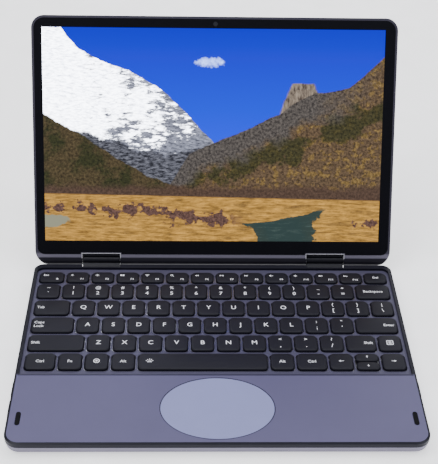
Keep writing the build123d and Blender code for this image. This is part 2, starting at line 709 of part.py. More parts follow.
def hinge_housings():
    """Caps that cover the link plates, closed at the outer end."""
    housings = []
    for side in SIDES:
        x0, x1 = hinge_span(side)
        inner_end, outer_end = (x0, x1 - 1.2) if side > 0 else (x0 + 1.2, x1)
        shell = housing_bar(x0, x1, 0.0) - housing_bar(inner_end, outer_end, HOUSING_WALL)
        housings.append(shell)
    return housings


def hinge_link_plates():
    """Steel plates that hold both shafts at their distance."""
    plates = []
    for side in SIDES:
        for start in (0.2, 8.0, 15.8):
            near, far = sorted((side * (HINGE_X - HINGE_WIDE / 2 + start),
                                side * (HINGE_X - HINGE_WIDE / 2 + start + 3.0)))
            plate = housing_bar(near, far, HOUSING_WALL + 0.02)
            for y in (0.0, AXIS_SPAN):
                plate -= rod(near - 1, far + 1, y, 0.0, SHAFT + SHAFT_FIT)
            plates.append(plate)
    return plates


# ---- Lid -------------------------------------------------------------------------------

def lid_plan(inset, low, low_radius, top_radius):
    half = WIDTH / 2 - inset
    return rounded(-half, half, low, LID_TOP - inset, low_radius, top_radius)


def glass_plan(grow=0.0):
    """Outline of the glass, with a shallow notch over each hinge."""
    sheet = lid_plan(GLASS_INSET - grow, GLASS_LOW - grow, 5.0, LID_TOP_RADIUS - GLASS_INSET)
    for side in SIDES:
        x0, x1 = hinge_span(side, HINGE_GAP + NOTCH_RIM - grow)
        high = LID_NOTCH + NOTCH_RIM - grow
        sheet -= Pos((x0 + x1) / 2, (high + GLASS_LOW - 2) / 2) * Rectangle(x1 - x0, high - GLASS_LOW + 2)
    return sheet


def lid_cover():
    """Rear shell of the lid: rim round the glass, chin below it, and a round lower edge."""
    outer = slab(lid_plan(0.0, -LID_HALF, LID_LOW_RADIUS, LID_TOP_RADIUS), -LID_HALF, LID_HALF)
    outer = fillet(outer.faces().sort_by(Axis.Z)[0].edges(), LID_BACK_FILLET)
    outer = chamfer(outer.faces().sort_by(Axis.Z)[-1].edges(), 0.5)
    nose = rod(-WIDTH, WIDTH, 0, 0, LID_HALF) + block(-WIDTH, WIDTH, 0, LID_TOP + 1, -LID_HALF, LID_HALF)
    outer = outer & nose
    room = slab(rounded(-118.3, 118.3, GLASS_LOW + 2.0, LID_TOP - 2.9, 4, 5.5), -LID_HALF + 1.1, LID_HALF)
    for side in SIDES:
        x0, x1 = hinge_span(side, HINGE_GAP + NOTCH_RIM)
        room -= block(x0, x1, 0, LID_NOTCH + 1.6, -LID_HALF, LID_HALF)
    outer -= room
    outer -= slab(glass_plan(0.04), LID_HALF - GLASS_THICK, LID_HALF + 1)
    for side in SIDES:
        x0, x1 = hinge_span(side, HINGE_GAP)
        outer -= block(x0, x1, -LID_HALF - 1, LID_NOTCH, -LID_HALF - 1, LID_HALF + 1)
        k0, k1 = inner_span(side, 1.2, 8.2)
        s0, s1 = inner_span(side, -1.0, 2.0)
        l0, l1 = inner_span(side, 1.7, 13.2)
        outer -= rod(k0, k1, 0, 0, KNUCKLE + 0.1) + rod(s0, s1, 0, 0, SHAFT + 0.2)
        outer -= block(k0, k1, 0, GLASS_LOW + 3, -2.4, KNUCKLE)
        outer -= block(l0, l1, 1.9, GLASS_LOW + 3, -2.4, -1.0)
        for x, y in lid_screw_places(side):
            outer -= disc(x, y, SCREW + 0.05, -LID_HALF + 0.5, 0)
    return outer


def touch_glass():
    return slab(glass_plan(), LID_HALF - GLASS_THICK, LID_HALF)


def lcd_panel():
    """Display module behind the glass, a little larger than its lit area."""
    front = LID_HALF - GLASS_THICK
    top = LID_TOP - DISPLAY_DROP
    half = DISPLAY_WIDE / 2 + 1.5
    low = top - DISPLAY_HIGH - 5.5
    return block(DISPLAY_X - half, DISPLAY_X + half, low, top + 0.8, front - 2.2, front)


def camera_module():
    front = LID_HALF - GLASS_THICK
    y = LID_TOP - CAMERA_DROP
    board = block(-16, 16, y - 1.5, y + 1.5, front - 2.4, front - 1.2)
    return board + disc(0, y, 1.4, front - 1.2, front)


def display_cable():
    """Flat ribbon from the display module towards the left hinge."""
    ribbon = block(-6, 6, 8, 46, -0.5, -0.2)
    return ribbon + block(-44, 6, 8, 13, -0.5, -0.2)


# ---- Write the nodes -------------------------------------------------------------------

def write_keys():
    groups = {}
    for node, x0, x1, y0, y1 in KEYS:
        groups.setdefault(node, []).append(keycap(x0, x1, y0, y1))
    for node, caps in groups.items():
        place(node, caps)


def write_base():
    for maker in (bottom_cover, top_case, palm_rest, deck_bumpers, keyboard_plate, keyboard_base_plate,
                  key_domes, touchpad, touchpad_frame, case_screws, rubber_feet, mainboard, heat_pipe,
                  fan_housing, fan_impeller, battery_cells, speakers, ssd_module, wifi_card, usb_c_ports,
                  audio_jack, button_switches, hinge_base_brackets, base_bracket_screws):
        place(maker.__name__, maker())
    for name in BUTTONS:
        place(name, side_button(name))


def write_hinge_and_lid():
    place("hinge_housings", hinge_housings(), LINK_FRAME)
    place("hinge_link_plates", hinge_link_plates(), LINK_FRAME)
    for maker in (hinge_lid_brackets, lid_cover, touch_glass, lcd_panel, camera_module,
                  display_cable):
        place(maker.__name__, maker(), LID_FRAME)
    place("lid_bracket_screws", lid_screws(), LID_FRAME)


def main():
    os.makedirs("parts", exist_ok=True)
    write_base()
    write_keys()
    write_hinge_and_lid()
    print(f"front edge y {FRONT_Y:.4f}")
    print(f"base axis y {AXIS_Y + FRONT_Y:.4f} z {AXIS_Z:.4f}")
    print(f"lid axis y {LID_AXIS[0] + FRONT_Y:.4f} z {LID_AXIS[1]:.4f}")


main()
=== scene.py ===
import json
import math

import bpy
from mathutils import Matrix, Vector


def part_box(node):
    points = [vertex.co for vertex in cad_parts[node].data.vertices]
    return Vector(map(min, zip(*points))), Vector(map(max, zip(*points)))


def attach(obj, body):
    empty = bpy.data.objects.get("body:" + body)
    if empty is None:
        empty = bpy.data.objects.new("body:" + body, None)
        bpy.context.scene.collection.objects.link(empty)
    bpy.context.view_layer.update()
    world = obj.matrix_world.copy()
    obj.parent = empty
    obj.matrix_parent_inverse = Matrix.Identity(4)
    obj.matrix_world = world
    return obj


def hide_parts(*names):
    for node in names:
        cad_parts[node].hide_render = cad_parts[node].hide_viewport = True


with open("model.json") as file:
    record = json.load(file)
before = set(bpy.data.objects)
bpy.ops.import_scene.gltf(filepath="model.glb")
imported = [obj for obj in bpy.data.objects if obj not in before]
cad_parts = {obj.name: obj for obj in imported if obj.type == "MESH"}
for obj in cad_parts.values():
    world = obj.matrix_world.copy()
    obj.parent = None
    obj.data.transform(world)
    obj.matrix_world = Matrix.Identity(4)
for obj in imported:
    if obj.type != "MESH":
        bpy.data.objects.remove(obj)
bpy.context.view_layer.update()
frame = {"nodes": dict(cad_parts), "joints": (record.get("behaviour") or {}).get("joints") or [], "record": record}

# A small convertible laptop, standing open. Everything is in metres, in the frame's own axes:
# +X is the user's right, +Y towards the back, +Z up.

MM = 0.001
NODES = frame["nodes"]
JOINTS = {joint["name"]: joint for joint in frame["joints"]}
LID_TILT = math.radians(25.4)      # how far the open lid leans back from upright


def lid_frame():
    """Frame on the lid's axis: x to the right, y up the lid, z out of the screen."""
    side = Vector((1, 0, 0))
    up = Vector((0, math.sin(LID_TILT), math.cos(LID_TILT)))
    out = Vector((0, -math.cos(LID_TILT), math.sin(LID_TILT)))
    turned = Matrix((side, up, out)).transposed().to_4x4()
    return Matrix.Translation(JOINTS["hinge_lid"]["pos_m"]) @ turned


LID = lid_frame()
GLASS_Z = 3.5 * MM         # face of the glass above the lid's axis
LID_TOP = 164.4 * MM       # top edge of the lid above the lid's axis


def on_lid(points):
    return [LID @ Vector(point) for point in points]


# ---- Camera, lights and floor ----------------------------------------------------------

CAMERA_PLACE = (-0.01892, -0.56042, 0.47003)
CAMERA_TURN = (54.409, -1.208, -1.237)     # degrees
CAMERA_LENS = 86.0                         # mm, for a 36 mm sensor


def add_camera():
    data = bpy.data.cameras.new("camera")
    data.sensor_width = 36.0
    data.lens = CAMERA_LENS
    data.clip_start = 0.05
    camera = bpy.data.objects.new("camera", data)
    camera.location = CAMERA_PLACE
    camera.rotation_euler = [math.radians(angle) for angle in CAMERA_TURN]
    bpy.context.collection.objects.link(camera)
    bpy.context.scene.camera = camera


def add_area_light(name, place, target, size, power, color=(1, 1, 1)):
    data = bpy.data.lights.new(name, "AREA")
    data.shape = "RECTANGLE"
    data.size, data.size_y = size
    data.energy = power
    data.color = color
    light = bpy.data.objects.new(name, data)
    light.location = place
    light.rotation_euler = (Vector(target) - Vector(place)).to_track_quat("-Z", "Y").to_euler()
    bpy.context.collection.objects.link(light)


def add_studio():
    add_area_light("key_light", (-0.55, -0.30, 0.95), (0, 0, 0.03), (0.7, 0.5), 6.5)
    add_area_light("fill_light", (0.75, -0.20, 0.75), (0, 0, 0.05), (0.6, 0.6), 4.0, (0.93, 0.95, 1.0))
    add_area_light("top_light", (0, 0.15, 1.1), (0, 0, 0), (0.9, 0.5), 6.0, (0.95, 0.96, 1.0))
    add_area_light("back_light", (0.1, 0.9, 0.5), (0, 0.05, 0.06), (0.9, 0.5), 4.0)


def add_sky():
    """Pale all round, brighter overhead."""
    world = bpy.data.worlds.new("studio")
    world.use_nodes = True
    tree = world.node_tree
    ramp = tree.nodes.new("ShaderNodeValToRGB")
    ramp.color_ramp.elements[0].position = 0.5
    ramp.color_ramp.elements[0].color = (0.20, 0.20, 0.22, 1)
    ramp.color_ramp.elements[1].position = 0.95
    ramp.color_ramp.elements[1].color = (0.80, 0.82, 0.88, 1)
    split = tree.nodes.new("ShaderNodeSeparateXYZ")
    lift = tree.nodes.new("ShaderNodeMapRange")
    lift.inputs["From Min"].default_value = -1.0
    tree.links.new(tree.nodes.new("ShaderNodeTexCoord").outputs["Generated"], split.inputs[0])
    tree.links.new(split.outputs["Z"], lift.inputs["Value"])
    tree.links.new(lift.outputs["Result"], ramp.inputs["Fac"])
    tree.links.new(ramp.outputs["Color"], tree.nodes["Background"].inputs["Color"])
    tree.nodes["Background"].inputs["Strength"].default_value = 0.7
    bpy.context.scene.world = world


FLOOR_HALF = 12.0


def add_floor():
    mesh = bpy.data.meshes.new("floor")
    mesh.from_pydata([(x * FLOOR_HALF, y * FLOOR_HALF, 0) for x, y in ((-1, -1), (1, -1), (1, 1), (-1, 1))],
                     [], [(0, 1, 2, 3)])
    floor = bpy.data.objects.new("floor", mesh)
    bpy.context.collection.objects.link(floor)
    mesh.materials.append(surface("floor_paper", (0.88, 0.88, 0.89), rough=0.75, grain=0.8, bump=0.02,
                                  glow=1.1))


# ---- Materials -------------------------------------------------------------------------

class Net:
    """Small helper that adds nodes and joins them."""

    def __init__(self, material):
        self.tree = material.node_tree
        self.shader = self.tree.nodes["Principled BSDF"]

    def put(self, socket, value):
        if isinstance(value, bpy.types.NodeSocket):
            self.tree.links.new(value, socket)
        elif isinstance(value, (tuple, list)) and len(value) == 3 and socket.type == "RGBA":
            socket.default_value = (*value, 1)
        else:
            socket.default_value = value

    def node(self, kind, **settings):
        made = self.tree.nodes.new(kind)
        for name, value in settings.items():
            setattr(made, name, value)
        return made

    def math(self, operation, first, second=0.0):
        made = self.node("ShaderNodeMath", operation=operation)
        self.put(made.inputs[0], first)
        self.put(made.inputs[1], second)
        return made.outputs[0]

    def dot(self, vector, direction):
        made = self.node("ShaderNodeVectorMath", operation="DOT_PRODUCT")
        self.put(made.inputs[0], vector)
        made.inputs[1].default_value = direction
        return made.outputs["Value"]

    def mix(self, factor, first, second):
        made = self.node("ShaderNodeMix", data_type="RGBA")
        self.put(made.inputs[0], factor)
        self.put(made.inputs[6], first)
        self.put(made.inputs[7], second)
        return made.outputs[2]

    def spread(self, value, low, high, to_low=0.0, to_high=1.0, smooth=False):
        made = self.node("ShaderNodeMapRange")
        made.interpolation_type = "SMOOTHSTEP" if smooth else "LINEAR"
        for index, number in enumerate((value, low, high, to_low, to_high)):
            self.put(made.inputs[index], number)
        return made.outputs[0]

    def noise(self, vector, scale, detail=3.0, rough=0.5, distortion=0.0):
        made = self.node("ShaderNodeTexNoise")
        self.put(made.inputs["Vector"], vector)
        made.inputs["Scale"].default_value = scale
        made.inputs["Detail"].default_value = detail
        made.inputs["Roughness"].default_value = rough
        made.inputs["Distortion"].default_value = distortion
        return made.outputs["Fac"]

    def place(self):
        return self.node("ShaderNodeTexCoord").outputs["Object"]

    def stretch(self, vector, scale):
        made = self.node("ShaderNodeMapping")
        self.put(made.inputs["Vector"], vector)
        made.inputs["Scale"].default_value = scale
        return made.outputs["Vector"]

    def bump(self, height, strength, distance):
        made = self.node("ShaderNodeBump")
        made.inputs["Strength"].default_value = strength
        made.inputs["Distance"].default_value = distance
        self.put(made.inputs["Height"], height)
        self.put(self.shader.inputs["Normal"], made.outputs["Normal"])


def surface(name, color, metallic=0.0, rough=0.5, grain=0.25, bump=0.15, mottle=0.06, brushed=None,
            coat=0.0, coat_rough=0.1, spread=0.06, specular=0.5, glow=0.0):
    """Finish with a fine grain (grain is its size in mm), slow mottling and uneven gloss."""
    material = bpy.data.materials.new(name)
    material.use_nodes = True
    net = Net(material)
    where = net.place()
    if brushed:
        where = net.stretch(where, brushed)
    fine = net.noise(where, 1.0 / (grain * MM), 2.0)
    slow = net.noise(where, 45.0, 4.0, 0.6)
    darker = tuple(channel * (1 - mottle) for channel in color)
    lighter = tuple(min(1.0, channel * (1 + mottle)) for channel in color)
    tint = net.mix(net.spread(slow, 0.3, 0.7), darker, lighter)
    speck = net.mix(net.spread(fine, 0.35, 0.65, 0.0, mottle), tint, lighter)
    net.put(net.shader.inputs["Base Color"], speck)
    gloss = net.spread(slow, 0.3, 0.7, rough - spread / 2, rough + spread / 2)
    net.put(net.shader.inputs["Roughness"], gloss)
    net.shader.inputs["Metallic"].default_value = metallic
    net.shader.inputs["Specular IOR Level"].default_value = specular
    net.shader.inputs["Coat Weight"].default_value = coat
    net.shader.inputs["Coat Roughness"].default_value = coat_rough
    net.shader.inputs["Emission Color"].default_value = (*color, 1)
    net.shader.inputs["Emission Strength"].default_value = glow
    net.bump(fine, bump, grain * MM * 0.2)
    return material


def lid_metal_with_painted_sheen(name, side, chin_sheen, glass_rim_sheen):
    """Lid metal: dark on its turned edges, with painted reflections on the faces turned out of the screen: a light
    band along the lid's lower edge and a fainter band round the glass.
    """
    material = surface(name, side, 0.4, 0.34, mottle=0.06, specular=0.3)
    net = Net(material)
    up, out = LID.col[1].xyz, LID.col[2].xyz
    height = net.math("SUBTRACT", net.dot(net.place(), up), up.dot(LID.translation))
    facing = net.dot(net.node("ShaderNodeTexCoord").outputs["Normal"], out)
    # painted reflection: where the metal faces out of the screen, above its lower curve, it gets a lighter colour
    front = net.math("MULTIPLY", net.spread(facing, 0.80, 0.97, smooth=True),
                     net.spread(height, 1.5 * MM, 2.5 * MM, smooth=True))
    # painted sheen colour: light along the lid's lower edge, fainter higher up round the glass
    sheen_tone = net.mix(net.spread(height, 4.2 * MM, 5.5 * MM), chin_sheen, glass_rim_sheen)
    base = net.shader.inputs["Base Color"]
    net.put(base, net.mix(front, base.links[0].from_socket, sheen_tone))
    return material


def slot_materials():
    """One finish for each material slot of the record."""
    return {
        "cover_metal": surface("cover_metal", (0.180, 0.168, 0.230), 0.6, 0.42, mottle=0.05),
        "rim_metal": surface("rim_metal", (0.010, 0.010, 0.017), 0.3, 0.40, mottle=0.10, specular=0.22),
        "deck_metal": surface("deck_metal", (0.107, 0.099, 0.184), 0.25, 0.48, mottle=0.03, specular=0.3),
        "plate_metal": surface("plate_metal", (0.066, 0.062, 0.104), 0.25, 0.45, mottle=0.06, specular=0.3),
        # lid metal with painted reflections on its outward faces
        "lid_metal": lid_metal_with_painted_sheen("lid_metal", side=(0.017, 0.016, 0.024), chin_sheen=(0.175, 0.163, 0.215),
                                glass_rim_sheen=(0.058, 0.054, 0.076)),
        "hinge_metal": surface("hinge_metal", (0.008, 0.008, 0.012), 0.2, 0.38, mottle=0.12, specular=0.25),
        "pad_glass": surface("pad_glass", (0.246, 0.261, 0.480), 0.1, 0.36, grain=0.12, bump=0.05,
                             mottle=0.02, specular=0.3),
        "screen_glass": surface("screen_glass", (0.004, 0.004, 0.006), 0.0, 0.07, bump=0.01, spread=0.03,
                                specular=0.14),
        "display": surface("display", (0.03, 0.05, 0.09), 0.0, 0.2),
        "key_plastic": surface("key_plastic", (0.0078, 0.0076, 0.0130), 0.0, 0.50, grain=0.18, bump=0.25,
                               mottle=0.12, specular=0.22),
        "black_plastic": surface("black_plastic", (0.018, 0.018, 0.02), 0.0, 0.5, bump=0.3),
        "black_rubber": surface("black_rubber", (0.004, 0.004, 0.005), 0.0, 0.75, bump=0.3, specular=0.12),
        "clear_rubber": surface("clear_rubber", (0.45, 0.45, 0.45), 0.0, 0.5),
        "steel": surface("steel", (0.52, 0.52, 0.54), 1.0, 0.32, brushed=(1, 14, 14), bump=0.2),
        "dark_steel": surface("dark_steel", (0.05, 0.05, 0.055), 0.9, 0.35),
        "circuit_board": surface("circuit_board", (0.012, 0.05, 0.08), 0.0, 0.35, coat=0.3),
        "copper": surface("copper", (0.72, 0.36, 0.22), 1.0, 0.35, brushed=(14, 1, 14)),
        "battery_wrap": surface("battery_wrap", (0.03, 0.03, 0.032), 0.0, 0.4),
        "ribbon": surface("ribbon", (0.09, 0.055, 0.02), 0.0, 0.4),
    }


def trim_materials():
    """Finishes of the pieces that only the visual model has."""
    return {
        "legend_ink": surface("legend_ink", (0.86, 0.86, 0.90), 0.0, 0.5, grain=0.1, bump=0.05, mottle=0.02),
        # painted highlight for the notches' polished cut edges
        "painted_edge_highlight": surface("painted_edge_highlight", (0.62, 0.61, 0.66), 0.3, 0.32, mottle=0.06),
        # painted shade for the groove round the pad
        "painted_groove_shade": surface("painted_groove_shade", (0.014, 0.013, 0.024), 0.2, 0.5, mottle=0.10, specular=0.15),
        # painted shade along the palm rest's rear edge
        "palm_edge_shade": surface("palm_edge_shade", (0.038, 0.036, 0.066), 0.25, 0.45, mottle=0.05, specular=0.2),
        "lens": surface("lens", (0.004, 0.005, 0.010), 0.0, 0.05, coat=1.0, coat_rough=0.02, spread=0.02),
    }


MATERIALS = slot_materials() | trim_materials()


def dress_nodes():
    """Give every CAD node the finish of its slot."""
    for row in frame["record"]["subparts"]:
        for place in NODES[row["node"]].material_slots:
            place.material = MATERIALS[row["material_slot"]]


# ---- Mesh helpers ----------------------------------------------------------------------

def make_piece(name, points, faces, material, body, smooth_angle=40.0):
    mesh = bpy.data.meshes.new(name)
    mesh.from_pydata(points, [], faces)
    mesh.validate()
    mesh.shade_smooth()
    mesh.set_sharp_from_angle(angle=math.radians(smooth_angle))
    mesh.materials.append(MATERIALS[material])
    piece = bpy.data.objects.new(name, mesh)
    bpy.context.collection.objects.link(piece)
    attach(piece, body)
    return piece


class Shape:
    """Points and faces gathered from several parts into one mesh."""

    def __init__(self):
        self.points = []
        self.faces = []

    def add(self, points, faces):
        start = len(self.points)
        self.points += [tuple(point) for point in points]
        self.faces += [tuple(start + index for index in face) for face in faces]

    def loft(self, rings, cap_first=False, cap_last=True):
        """Skin closed rings of equal length."""
        count = len(rings[0])
        points = [point for ring in rings for point in ring]
        faces = []
        for level in range(len(rings) - 1):
            low = level * count
            for i in range(count):
                j = (i + 1) % count
                faces.append((low + i, low + j, low + count + j, low + count + i))
        if cap_first:
            faces.append(tuple(reversed(range(count))))
        if cap_last:
            faces.append(tuple(range((len(rings) - 1) * count, len(rings) * count)))
        self.add(points, faces)


def islands(node):
    """The box of each separate solid of a node, left to right."""
    mesh = node.data
    parent = list(range(len(mesh.vertices)))

    def root(i):
        while parent[i] != i:
            parent[i] = parent[parent[i]]
            i = parent[i]
        return i

    spots = {}
    for vertex in mesh.vertices:
        spot = tuple(round(c, 6) for c in vertex.co)
        parent[root(vertex.index)] = root(spots.setdefault(spot, vertex.index))
    for edge in mesh.edges:
        parent[root(edge.vertices[0])] = root(edge.vertices[1])
    groups = {}
    for vertex in mesh.vertices:
        groups.setdefault(root(vertex.index), []).append(vertex.co)
    boxes = [([min(p[a] for p in group) for a in range(3)], [max(p[a] for p in group) for a in range(3)])
             for group in groups.values()]
    return sorted(boxes, key=lambda box: box[0][0])


def oval_ring(x, y, half_x, half_y, z, steps):
    """Ellipse as a ring of points, anticlockwise from above."""
    turns = [2 * math.pi * i / steps for i in range(steps)]
    return [(x + half_x * math.cos(turn), y + half_y * math.sin(turn), z) for turn in turns]


def brick(x0, x1, y0, y1, z0, z1):
    """Points and faces of a box."""
    points = [(x, y, z) for z in (z0, z1) for x, y in ((x0, y0), (x1, y0), (x1, y1), (x0, y1))]
    return points, [(3, 2, 1, 0), (4, 5, 6, 7), (0, 1, 5, 4), (1, 2, 6, 5), (2, 3, 7, 6), (3, 0, 4, 7)]


def round_ring(x0, x1, y0, y1, radius, z, steps=6):
    """Rounded rectangle as a ring of points, anticlockwise from above."""
    ring = []
    centres = ((x1 - radius, y0 + radius, -90), (x1 - radius, y1 - radius, 0),
               (x0 + radius, y1 - radius, 90), (x0 + radius, y0 + radius, 180))
    for cx, cy, start in centres:
        for i in range(steps + 1):
            angle = math.radians(start + 90 * i / steps)
            ring.append((cx + radius * math.cos(angle), cy + radius * math.sin(angle), z))
    return ring


# ---- Keycaps ---------------------------------------------------------------------------

CAP_RADIUS = 3.3 * MM
CAP_WALL = 1.3             # thickness of the skirt, mm
CAP_SKIN = 0.8             # thickness of the top, mm
# inset from the cap's outline and height below its flat top, in mm, from the skirt's foot inwards
CAP_PROFILE = ((0.0, 1.85), (0.06, 1.10), (0.18, 0.62), (0.40, 0.28), (0.75, 0.08), (1.25, 0.0))
CAP_ROUND = 0.42           # the corners' radius is at most this share of the cap's depth
CAP_SHARPEN = 0.6          # and shrinks by this share of the inset


def add_cap(shape, box):
    """Hollow keycap: ceiling, inner wall, foot of the skirt, outer wall and top."""
    (x0, y0, _), (x1, y1, top) = box
    foot = CAP_PROFILE[0][1]
    rings = []
    for inset, drop in ((CAP_WALL, CAP_SKIN), (CAP_WALL, foot)) + CAP_PROFILE:
        grow = inset * MM
        radius = min(CAP_RADIUS, (y1 - y0) * CAP_ROUND) - grow * CAP_SHARPEN
        rings.append(round_ring(x0 + grow, x1 - grow, y0 + grow, y1 - grow, radius, top - drop * MM))
    shape.loft(rings, cap_first=True)


# ---- Legends ---------------------------------------------------------------------------

def text_shape(text, size, bold):
    """Flat outline of a text, centred on zero, from Blender's own plain font."""
    curve = bpy.data.curves.new("legend", "FONT")
    curve.body = text
    curve.size = size
    curve.offset = bold
    curve.align_x = "CENTER"
    curve.resolution_u = 3
    holder = bpy.data.objects.new("legend", curve)
    bpy.context.collection.objects.link(holder)
    mesh = bpy.data.meshes.new_from_object(holder)
    points = [tuple(v.co) for v in mesh.vertices]
    faces = [tuple(p.vertices) for p in mesh.polygons]
    bpy.data.objects.remove(holder)
    bpy.data.curves.remove(curve)
    bpy.data.meshes.remove(mesh)
    return points, faces


def arc(cx, cy, radius, wide, start, end, steps=14):
    """Bent stroke as a strip of faces."""
    points = []
    for i in range(steps + 1):
        angle = math.radians(start + (end - start) * i / steps)
        for r in (radius - wide / 2, radius + wide / 2):
            points.append((cx + r * math.cos(angle), cy + r * math.sin(angle), 0))
    return points, [(2 * i, 2 * i + 1, 2 * i + 3, 2 * i + 2) for i in range(steps)]


def bar(x0, y0, x1, y1, wide):
    """Straight stroke."""
    along = Vector((x1 - x0, y1 - y0)).normalized() * wide / 2
    ax, ay = -along.y, along.x
    points = [(x0 + ax, y0 + ay, 0), (x0 - ax, y0 - ay, 0), (x1 - ax, y1 - ay, 0), (x1 + ax, y1 + ay, 0)]
    return points, [(0, 1, 2, 3)]


def polygon(*corners):
    return [(x, y, 0) for x, y in corners], [tuple(range(len(corners)))]


def disc(cx, cy, radius, steps=16):
    turns = (2 * math.pi * i / steps for i in range(steps))
    return polygon(*[(cx + radius * math.cos(a), cy + radius * math.sin(a)) for a in turns])


def ray(x, y, near, far, degrees, wide):
    """Straight stroke that points away from a middle."""
    turn = Vector((math.cos(math.radians(degrees)), math.sin(math.radians(degrees))))
    start, end = Vector((x, y)) + turn * near, Vector((x, y)) + turn * far
    return bar(*start, *end, wide)


def sun(radius):
    return [disc(0, 0, radius)] + [ray(0, 0, radius * 1.5, radius * 2.1, 45 * i, 0.22) for i in range(8)]


def speaker(waves):
    body = [polygon((-1.1, -0.35), (-0.6, -0.35), (0.1, -0.95), (0.1, 0.95), (-0.6, 0.35), (-1.1, 0.35))]
    return body + [arc(0.1, 0, 0.6 + 0.45 * i, 0.2, -50, 50) for i in range(waves)]


def ring_square(half, wide):
    corners = ((-half, -half), (half, -half), (half, half), (-half, half))
    return [bar(*start, *end, wide) for start, end in zip(corners, corners[1:] + corners[:1])]


ICONS = {
    "dim": sun(0.42),
    "bright": sun(0.60),
    "screens": [polygon((-1.2, -0.7), (-0.15, -0.7), (-0.15, 0.7), (-1.2, 0.7)),
                polygon((0.15, -0.7), (1.2, -0.7), (1.2, 0.7), (0.15, 0.7))],
    "wireless": [disc(0, -0.75, 0.26)] + [arc(0, -0.9, 0.75 + 0.5 * i, 0.24, 45, 135) for i in range(3)],
    "search": [arc(-0.2, 0.2, 0.62, 0.30, 0, 360), bar(0.25, -0.25, 0.95, -0.95, 0.36)],
    "back": [polygon((0, 0), (1.1, -0.65), (1.1, 0.65)), polygon((-1.1, 0), (0, -0.65), (0, 0.65))],
    "play": [polygon((-1.1, -0.65), (0.1, 0), (-1.1, 0.65)), bar(0.5, -0.65, 0.5, 0.65, 0.28),
             bar(1.0, -0.65, 1.0, 0.65, 0.28)],
    "ahead": [polygon((-1.1, -0.65), (0, 0), (-1.1, 0.65)), polygon((0, -0.65), (1.1, 0), (0, 0.65))],
    "mute": speaker(0) + [bar(0.5, -0.4, 1.2, 0.4, 0.2), bar(0.5, 0.4, 1.2, -0.4, 0.2)],
    "quiet": speaker(1),
    "loud": speaker(2),
    "lock": [polygon((-0.6, -0.7), (0.6, -0.7), (0.6, 0.2), (-0.6, 0.2)), arc(0, 0.2, 0.38, 0.22, 0, 180)],
    "light": [bar(-1.0, -0.75, 1.0, -0.75, 0.34), arc(0, -0.55, 0.5, 0.3, 0, 180)]
    + [ray(0, -0.5, 1.0, 1.7, degrees, 0.3) for degrees in (20, 55, 90, 125, 160)],
    "home": [arc(0, 0, 1.05, 0.34, 0, 360, 28), disc(0, 0, 0.45)],
    "menu": ring_square(1.0, 0.3) + [bar(-0.5, y, 0.5, y, 0.26) for y in (-0.45, 0.0, 0.45)],
    "left": [polygon((-1.2, 0), (-0.2, -0.62), (-0.2, 0.62)), bar(-0.2, 0, 1.1, 0, 0.26)],
    "right": [polygon((1.2, 0), (0.2, 0.62), (0.2, -0.62)), bar(0.2, 0, -1.1, 0, 0.26)],
    "up": [polygon((0, 1.0), (-0.62, 0.0), (0.62, 0.0)), bar(0, 0, 0, -0.9, 0.26)],
    "down": [polygon((0, -1.0), (0.62, 0.0), (-0.62, 0.0)), bar(0, 0, 0, 0.9, 0.26)],
}

# Each sign is (what, side to side, front to back, size, alignment): places are in mm from the cap's
# middle, and a size is a letter's height setting or an icon's scale.
LETTER = 5.0
DIGIT = 4.5
MARK = 3.8
WORD = 3.2
SMALL = 2.5


def letter(text):
    return [(text, 0.0, 0.0, LETTER, "middle")]


def pair(upper, lower):
    return [(upper, 0.0, 3.1, MARK, "middle"), (lower, 0.0, -2.6, DIGIT, "middle")]


def word(text, align="middle"):
    return [(text, 0.0, -0.2, WORD, align)]


def function_sign(icon, number):
    return [("icon:" + icon, -3.7, 1.6, 1.15, "middle"), (f"F{number}", 3.1, -2.4, SMALL, "middle")]


FUNCTION_ICONS = ("dim", "bright", "screens", "wireless", "search", "back", "play", "ahead", "mute",
                  "quiet", "loud")
LEGENDS = {
    "escape_key": [[("Esc", -3.8, 1.7, 2.8, "middle"), ("icon:lock", 3.8, -2.4, 1.1, "middle")]],
    "function_keys": [function_sign(icon, i + 1) for i, icon in enumerate(FUNCTION_ICONS)]
    + [[("Ins", -3.4, 1.6, SMALL, "middle"), ("F12", 2.9, -2.4, SMALL, "middle")],
       [("Del", 0, 0.0, 2.8, "middle")]],
    "number_keys": [pair(*signs) for signs in zip("~!@#$%^&*()_+", "`1234567890-=")],
    "backspace_key": [word("Backspace")],
    "tab_key": [word("Tab", "left")],
    "upper_letter_keys": [letter(c) for c in "QWERTYUIOP"]
    + [pair("{", "["), pair("}", "]"), pair("|", "\\")],
    "caps_lock_key": [[("Caps", 0.0, 1.9, WORD, "left"), ("Lock", 0.0, -1.6, WORD, "left")]],
    "home_letter_keys": [letter(c) for c in "ASDFGHJKL"] + [pair(":", ";"), pair('"', "'")],
    "enter_key": [word("Enter", "right")],
    "left_shift_key": [word("Shift", "left")],
    "lower_letter_keys": [letter(c) for c in "ZXCVBNM"] + [pair("<", ","), pair(">", "."), pair("?", "/")],
    "right_shift_key": [word("Shift", "right")],
    "menu_key": [[("icon:menu", 0.0, 0.0, 1.9, "middle")]],
    "left_ctrl_key": [word("Ctrl")],
    "fn_key": [word("Fn")],
    "symbol_key": [[("icon:home", 0.0, 0.0, 1.6, "middle")]],
    "left_alt_key": [word("Alt")],
    "space_bar": [[("icon:light", -32.7, 0.2, 1.45, "middle")]],
    "right_alt_key": [word("Alt")],
    "right_ctrl_key": [word("Ctrl")],
    "arrow_left_key": [[("icon:left", 0.0, 0.2, 1.4, "middle")]],
    "arrow_up_key": [[("icon:up", 0.0, 0.2, 1.15, "middle")]],
    "arrow_down_key": [[("icon:down", 0.0, 0.0, 1.15, "middle")]],
    "arrow_right_key": [[("icon:right", 0.0, 0.2, 1.4, "middle")]],
}
EDGE_SPACE = 2.0 * MM      # between an aligned word and the end of its cap
INK_RISE = 0.03 * MM
INK_BOLD = 0.010           # strokes grow by this share of the letter's size
HALF_LETTER = 0.35         # half a capital's height, as a share of its size


